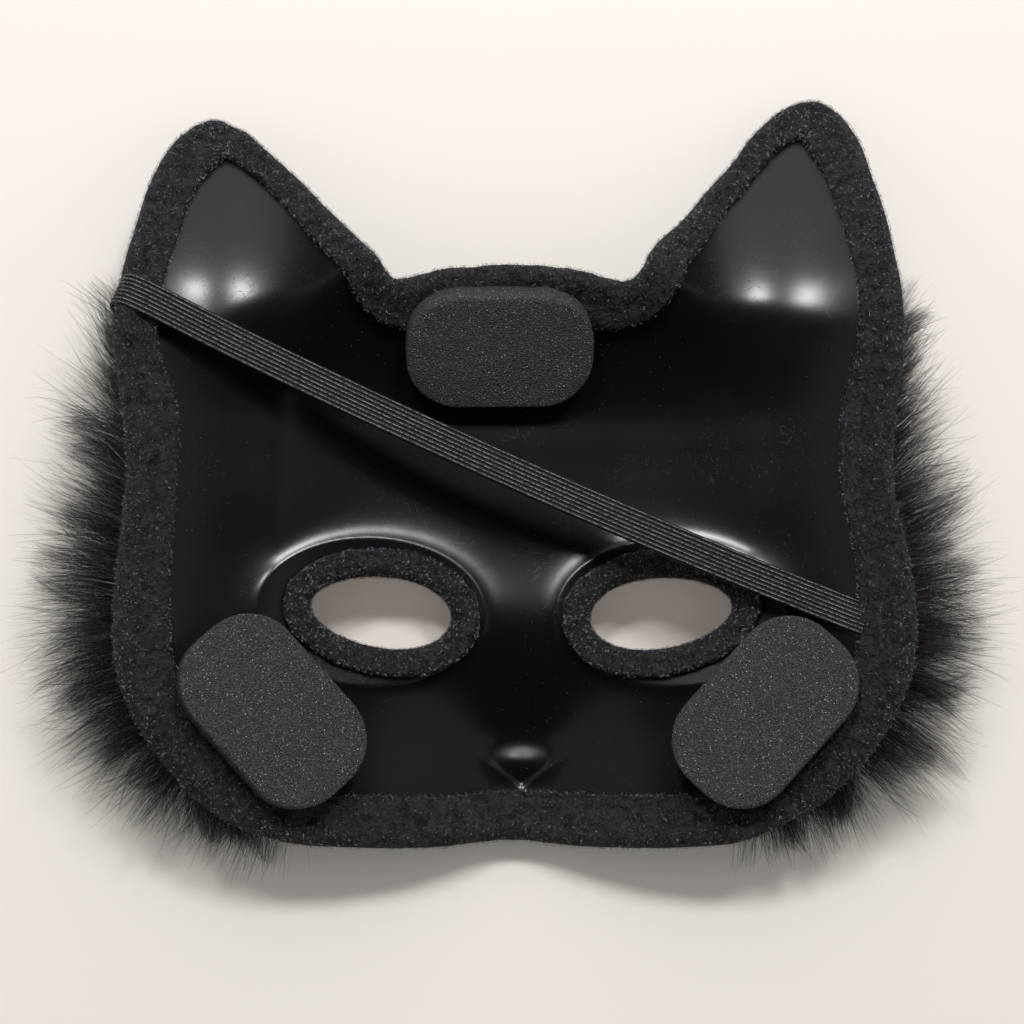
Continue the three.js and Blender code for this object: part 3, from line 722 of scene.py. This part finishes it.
# %% [markdown]
# ## Fur
#
# Long pile comes out from under each cheek. Hair could be groomed by hand, but a rule with a seed gives
# the same fur each time: hairs start under the rim, follow a direction that turns from the ears to the
# chin, droop to the table and gather into locks round guide hairs.

# %% Hairs
FUR_TOP, FUR_SIDE, FUR_BAND = 36.0, 0.68, 18.0
LEAN_Y = np.array([-88.0, -80.0, -66.0, -42.0, -18.0, 6.0, 42.0])
LEAN_DEGREES = np.array([-95.0, -75.0, -40.0, -4.0, 22.0, 42.0, 60.0])
LONG_SHARE = np.array([0.35, 0.45, 0.85, 1.0, 1.0, 1.0, 0.45])
FLOOR = -shift[2]


def hair_paths(side, count, guides, long, steps, gather, spread):
    """Paths of one side's hairs, gathered into locks."""
    edge = rim[(side * rim[:, 0] > FUR_SIDE * HALF_WIDTH) & (rim[:, 1] < FUR_TOP)]
    edge = edge[np.argsort(edge[:, 1])]
    reach = np.concatenate([[0], np.cumsum(np.linalg.norm(np.diff(edge[:, :2], axis=0), axis=1))])

    def own(number, spread):
        """Hairs before they gather: where each starts along and under the rim, and its path."""
        s = rng.uniform(0, reach[-1], number)
        deep = rng.uniform(RIM_ROUND, FUR_BAND, number)
        x, y = np.interp(s, reach, edge[:, 0]), np.interp(s, reach, edge[:, 1])
        lean = np.radians(np.interp(y, LEAN_Y, LEAN_DEGREES) + rng.normal(0, spread, number))
        middle = np.stack([-x, -20 - y], 1)
        middle /= np.linalg.norm(middle, axis=1, keepdims=True)
        root_x, root_y = x + middle[:, 0] * deep, y + middle[:, 1] * deep
        root = off_face(root_x, root_y, np.full(number, COVER_UNDER - 0.2))
        length = (rng.uniform(*long, number) + 2) * np.interp(y, LEAN_Y, LONG_SHARE) + deep
        drop = np.radians(rng.uniform(8, 34, number))
        flat = np.stack([side * np.cos(lean), np.sin(lean)], 1) * np.cos(drop)[:, None]
        run = np.concatenate([flat, -np.sin(drop)[:, None]], 1)
        t = np.linspace(0, 1, steps)[None, :, None]
        bend = np.stack([rng.normal(0, wild, number) for wild in (0.12, 0.12, 0.10)], 1)
        path = root[:, None] + length[:, None, None] * (run[:, None] * t + bend[:, None] * t**2)
        return s, deep, path

    s, deep, path = own(count, spread)
    guide_s, guide_deep, guide_path = own(guides, spread * 1.3)
    near = np.argmin((s[:, None] - guide_s[None]) ** 2 + (deep[:, None] - guide_deep[None]) ** 2, 1)
    t = np.linspace(0, 1, steps)[None, :, None]
    pull = gather * t**1.3 * rng.uniform(0.4, 1, (count, 1, 1))
    path = path * (1 - pull) + guide_path[near] * pull
    low = FLOOR + 0.4 + 1.2 * rng.random((count, 1))
    path[..., 2] = np.maximum(path[..., 2], low)
    return path


for side, word in ((-1, "left"), (1, "right")):
    under = hair_paths(side, 7600, 52, (9, 22), 6, 0.92, 10)
    ribbons(under, rng.uniform(0.10, 0.17, len(under)), f"fur_{word}_soft")
    guard = hair_paths(side, 2200, 95, (14, 28), 8, 0.62, 12)
    ribbons(guard, rng.uniform(0.12, 0.22, len(guard)), f"fur_{word}_guard")
print("fur quads:", sum(len(o.data.polygons) for o in PIECES[-4:]))

# %% [markdown]
# ## Shader maths
#
# A finish is a graph of nodes. Wired one by one it is long and hard to read, so a small wrapper lets the
# graph be written as sums and products of sockets, and one method adds every other node.

# %% Socket class
class Socket:
    """An output socket: sums, products and comparisons with it add Math nodes."""

    def __init__(self, finish, out):
        self.finish, self.out = finish, out

    def math(self, operation, other, clamp=False, turned=False):
        pair = (other, self) if turned else (self, other)
        return self.finish.node("Math", {"operation": operation, "use_clamp": clamp}, dict(enumerate(pair)))

    def __add__(self, other):
        return self.math("ADD", other)

    def __radd__(self, other):
        return self.math("ADD", other, turned=True)

    def __sub__(self, other):
        return self.math("SUBTRACT", other)

    def __rsub__(self, other):
        return self.math("SUBTRACT", other, turned=True)

    def __mul__(self, other):
        return self.math("MULTIPLY", other)

    def __rmul__(self, other):
        return self.math("MULTIPLY", other, turned=True)

    def __gt__(self, other):
        return self.math("GREATER_THAN", other)

    def __lt__(self, other):
        return self.math("LESS_THAN", other)

    def clamped(self):
        return self.math("ADD", 0.0, clamp=True)


# %% Finish class
MIX_A, MIX_B, MIXED = 6, 7, 2


class Finish:
    """A material with one principled shader, and a method for every node that feeds it."""

    def __init__(self, name, color, roughness, **inputs):
        self.material = bpy.data.materials.new(name)
        self.material.use_nodes = True
        self.tree = self.material.node_tree
        self.shader = self.tree.nodes["Principled BSDF"]
        self.feed(self.shader, {"Base Color": (*color, 1), "Roughness": roughness})
        self.feed(self.shader, {key.replace("_", " "): value for key, value in inputs.items()})
        self.place = self.node("TexCoord", {}, {}, "Object")

    def feed(self, node, values):
        """Gives inputs of a node a value or a link each."""
        for key, value in values.items():
            if isinstance(value, Socket):
                self.tree.links.new(value.out, node.inputs[key])
            else:
                node.inputs[key].default_value = value

    def node(self, kind, settings, values, output=0):
        """A new node of a kind: its settings come first, then what its inputs get."""
        made = self.tree.nodes.new("ShaderNode" + kind)
        for key, value in settings.items():
            setattr(made, key, value)
        self.feed(made, values)
        return Socket(self, made.outputs[output])

    def set(self, name, value):
        self.feed(self.shader, {name: value})

    def mapped(self, scale, turn):
        """Object coordinates turned first and then drawn out by the scale."""
        values = {"Vector": self.place, "Scale": scale, "Rotation": turn}
        return self.node("Mapping", {"vector_type": "TEXTURE"}, values)

    def noise(self, scale, detail=2.0, at=None, distortion=0.0):
        values = {"Vector": at or self.place, "Scale": scale, "Detail": detail, "Distortion": distortion}
        return self.node("TexNoise", {}, values, "Fac")

    def cells(self, scale):
        return self.node("TexVoronoi", {}, {"Vector": self.place, "Scale": scale}, "Distance")

    def blend(self, factor, a, b):
        """A colour from a to b by the factor."""
        a, b = (color if isinstance(color, Socket) else (*color, 1) for color in (a, b))
        return self.node("Mix", {"data_type": "RGBA"}, {"Factor": factor, MIX_A: a, MIX_B: b}, MIXED)

    def bump(self, value, distance):
        self.set("Normal", self.node("Bump", {}, {"Height": value, "Distance": distance}))


# %% [markdown]
# ## Finishes
#
# The plastic is black and glossy, with faint rubbed streaks and dust. The felt is matt with a rough bump,
# and some of its fibres are pale with painted glints. The foam is a dark grey whose pores are painted
# darker as shade and whose pale specks are painted glints; the elastic has pale dotted lines painted on its
# rib crests as highlights, and the hair is nearly black with a slight gloss. Pictures could be painted for
# all of these, but noise in object coordinates needs no seams and no files.

# %% One function for each finish
PLASTIC = (0.0042, 0.0042, 0.0045)


def plastic():
    """Black gloss with rubbed streaks and dust."""
    finish = Finish("moulded_plastic", PLASTIC, 0.27, Specular_IOR_Level=0.5)
    rubbed = None
    for turn in (0.35, 1.45, 2.4):
        streak = finish.noise(1900, 1.0, finish.mapped((1, 9, 1), (0, 0, turn)), 0.8) > 0.70
        rubbed = streak if rubbed is None else rubbed.math("MAXIMUM", streak)
    patches = (finish.noise(70, 2) - 0.50) * 6
    dust = (finish.cells(700) < 0.055) * (finish.noise(30, 3) > 0.5)
    finish.set("Base Color", finish.blend((dust * 0.35).clamped(), PLASTIC, (0.45, 0.44, 0.43)))
    finish.set("Roughness", finish.noise(60, 4) * 0.06 + 0.22 + rubbed * patches.clamped() * 0.12)
    finish.bump(finish.noise(160, 3) + rubbed * patches.clamped() * 0.04, 0.00003)
    return finish.material


def felt():
    """Matt black wool."""
    finish = Finish("wool_felt", (0.006, 0.0068, 0.0085), 0.95, Sheen_Weight=0.03, Sheen_Roughness=0.5)
    wool = finish.noise(420, 4, None, 1.2) + finish.noise(1500, 3) * 0.6
    tone = ((wool - 0.62) * 1.8).clamped()
    finish.set("Base Color", finish.blend(tone, (0.0008, 0.0009, 0.0012), (0.030, 0.033, 0.040)))
    finish.bump(wool + finish.noise(260, 2), 0.0009)
    return finish.material


def fibre():
    """Loose fibres; the pale tone on some of them is painted glints."""
    finish = Finish("felt_fibre", (0.01, 0.011, 0.014), 0.45)
    # The pale fibres are painted glints of light on the fuzz.
    tone = (finish.noise(1300, 0) - 0.56) * 9
    finish.set("Base Color", finish.blend(tone.clamped(), (0.006, 0.0066, 0.008), (0.34, 0.36, 0.40)))
    return finish.material


def foam():
    """Dark grey, with pores painted darker as shade and pale specks painted as glints."""
    finish = Finish("pad_foam", (0.055, 0.05, 0.046), 0.95)
    # The pores are painted darker, as the shade inside them.
    pores = finish.cells(2300)
    # The pale specks are painted glints on the foam.
    glint_specks = (finish.cells(1500) < 0.20) * (finish.noise(2200, 1) > 0.52)
    ground_with_pore_shade = finish.blend(pores * 1.5, (0.006, 0.0055, 0.0055), (0.062, 0.057, 0.054))
    finish.set("Base Color", finish.blend(glint_specks * 0.7, ground_with_pore_shade, (0.55, 0.53, 0.50)))
    finish.bump(pores + finish.noise(2600, 2) * 0.5, 0.0005)
    return finish.material


def elastic():
    """Black ribs."""
    finish = Finish("strap_elastic", (0.0025, 0.0025, 0.0027), 0.6)
    finish.bump(finish.noise(1800, 2), 0.0002)
    return finish.material


def painted_rib_highlight():
    """Pale dotted lines painted on the rib crests as highlights."""
    finish = Finish("strap_thread", (0.1, 0.1, 0.1), 0.6)
    # The pale dots are painted highlight on the rib crests.
    tone = finish.noise(2600, 0) > 0.50
    finish.set("Base Color", finish.blend(tone, (0.014, 0.014, 0.014), (0.20, 0.20, 0.195)))
    return finish.material


def hair():
    """Nearly black pile."""
    finish = Finish("fur_hair", (0.016, 0.011, 0.009), 0.34, Specular_IOR_Level=0.6)
    tone = finish.blend(finish.noise(500, 2), (0.004, 0.0035, 0.003), (0.022, 0.016, 0.013))
    finish.set("Base Color", tone)
    return finish.material


materials = {
    "shell": plastic(), "fuzz": fibre(), "felt": felt(),
    "foam": foam(), "elastic": elastic(), "fur": hair(),
}
for piece in PIECES:
    kind = next(word for word in materials if word in piece.name)
    piece.data.materials.append(materials[kind])
    "felt" if kind == "fuzz" else kind
    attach(piece, "root")
# The painted rib highlight finish goes on the crest faces.
strap_piece.data.materials.append(painted_rib_highlight())
rib_highlight_columns = np.tile(rib_highlight_faces, strap.shape[0] - 1)
strap_piece.data.polygons.foreach_set("material_index", rib_highlight_columns)
print("finishes:", sorted(materials))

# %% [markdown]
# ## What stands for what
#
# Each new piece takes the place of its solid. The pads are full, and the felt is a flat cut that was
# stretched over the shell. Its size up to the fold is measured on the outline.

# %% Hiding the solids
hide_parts("mask_shell")
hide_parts("felt_cover")
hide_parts("elastic_strap")
for side in ("left", "right"):
    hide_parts(f"fur_{side}")
for name, piece in pads.items():
    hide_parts(name)
fold = inset(rim, RIM_ROUND) * MM
cut = inset(rim, -(rim[:, 2] + (math.pi - 2) * RIM_ROUND))
print("felt laid flat in mm, up to the fold:", np.ptp(fold / MM, 0).round(1))
print("felt laid flat in mm, with its hem:", np.ptp(cut, 0).round(1))

# %% [markdown]
# ## Surface, light and camera
#
# The mask was photographed from above on a pale table in soft light. Two small lamps far up give the spots
# in the ears, a wide panel gives the arcs over the eyes, and the others only fill the shadows. The world
# is kept out of reflections, or the gloss would turn grey.

# %% Floor, world and lamps
bm = bmesh.new()
bmesh.ops.create_grid(bm, x_segments=1, y_segments=1, size=3.0)
floor_mesh = bpy.data.meshes.new("floor")
bm.to_mesh(floor_mesh)
bm.free()
floor = bpy.data.objects.new("floor", floor_mesh)
floor.location.z = -0.0002
bpy.context.scene.collection.objects.link(floor)
paper = Finish("pale_surface", (0.86, 0.815, 0.765), 0.75)
floor.data.materials.append(paper.material)

world = bpy.data.worlds.new("room")
bpy.context.scene.world = world
world.use_nodes = True
world.node_tree.nodes["Background"].inputs["Color"].default_value = (1.0, 0.985, 0.965, 1)
world.node_tree.nodes["Background"].inputs["Strength"].default_value = 0.30
world.cycles_visibility.glossy = False


def softbox(name, place, aim, size, power, color=(1, 1, 1)):
    """A lamp with a flat face; the under and fill lamps aren't seen in reflections."""
    data = bpy.data.lights.new(name, "AREA")
    data.color = color
    data.shape, data.size, data.size_y, data.energy = "RECTANGLE", size[0], size[1], power
    lamp = bpy.data.objects.new(name, data)
    lamp.location = place
    lamp.rotation_mode = "QUATERNION"
    lamp.rotation_quaternion = (Vector(aim) - Vector(place)).to_track_quat("-Z", "Y")
    lamp.visible_camera = False
    lamp.visible_glossy = not name.startswith(("under", "fill"))
    bpy.context.scene.collection.objects.link(lamp)


softbox("key_left", (-0.27, 0.66, 1.05), (0, 0, 0), (0.18, 0.18), 5.6)
softbox("key_right", (0.27, 0.66, 1.05), (0, 0, 0), (0.18, 0.18), 5.6)
softbox("panel", (0, 1.20, 0.95), (0, 0, 0), (1.7, 1.1), 5.4)
softbox("fill_chin", (0, -1.30, 1.30), (0, -0.10, 0), (0.9, 0.9), 1.3)
softbox("side_left", (-1.30, -0.10, 1.00), (0, 0, 0), (1.2, 1.2), 1.3)
softbox("side_right", (1.30, -0.10, 1.00), (0, 0, 0), (1.2, 1.2), 1.3)
UNDER = (1.0, 0.87, 0.79)
for side, word in ((-1, "left"), (1, "right")):
    x, y = ((EYE_ASIDE + side * EYE_SPACING / 2) + shift[0]) * MM, (shift[1] - EYE_DROP) * MM
    softbox(f"under_{word}", (x, y + 0.001, 0.008), (x, y + 0.001, 0), (0.052, 0.040), 0.0009, UNDER)

# %% Camera
CAMERA_MM = np.array([-38.69, -74.15, 641.47])
LOOK = Vector((-0.06, -0.105, 1)).normalized() * -1
right = LOOK.cross(Vector((0, 1, 0))).normalized()
above = right.cross(LOOK)
camera_data = bpy.data.cameras.new("camera")
camera_data.lens, camera_data.sensor_width = 90, 36
camera = bpy.data.objects.new("camera", camera_data)
camera.rotation_mode = "QUATERNION"
camera.location = Vector((CAMERA_MM + shift) * MM)
camera.rotation_quaternion = Matrix((right, above, -LOOK)).transposed().to_quaternion()
bpy.context.scene.collection.objects.link(camera)
bpy.context.scene.camera = camera
bpy.context.scene.view_settings.view_transform = "Standard"
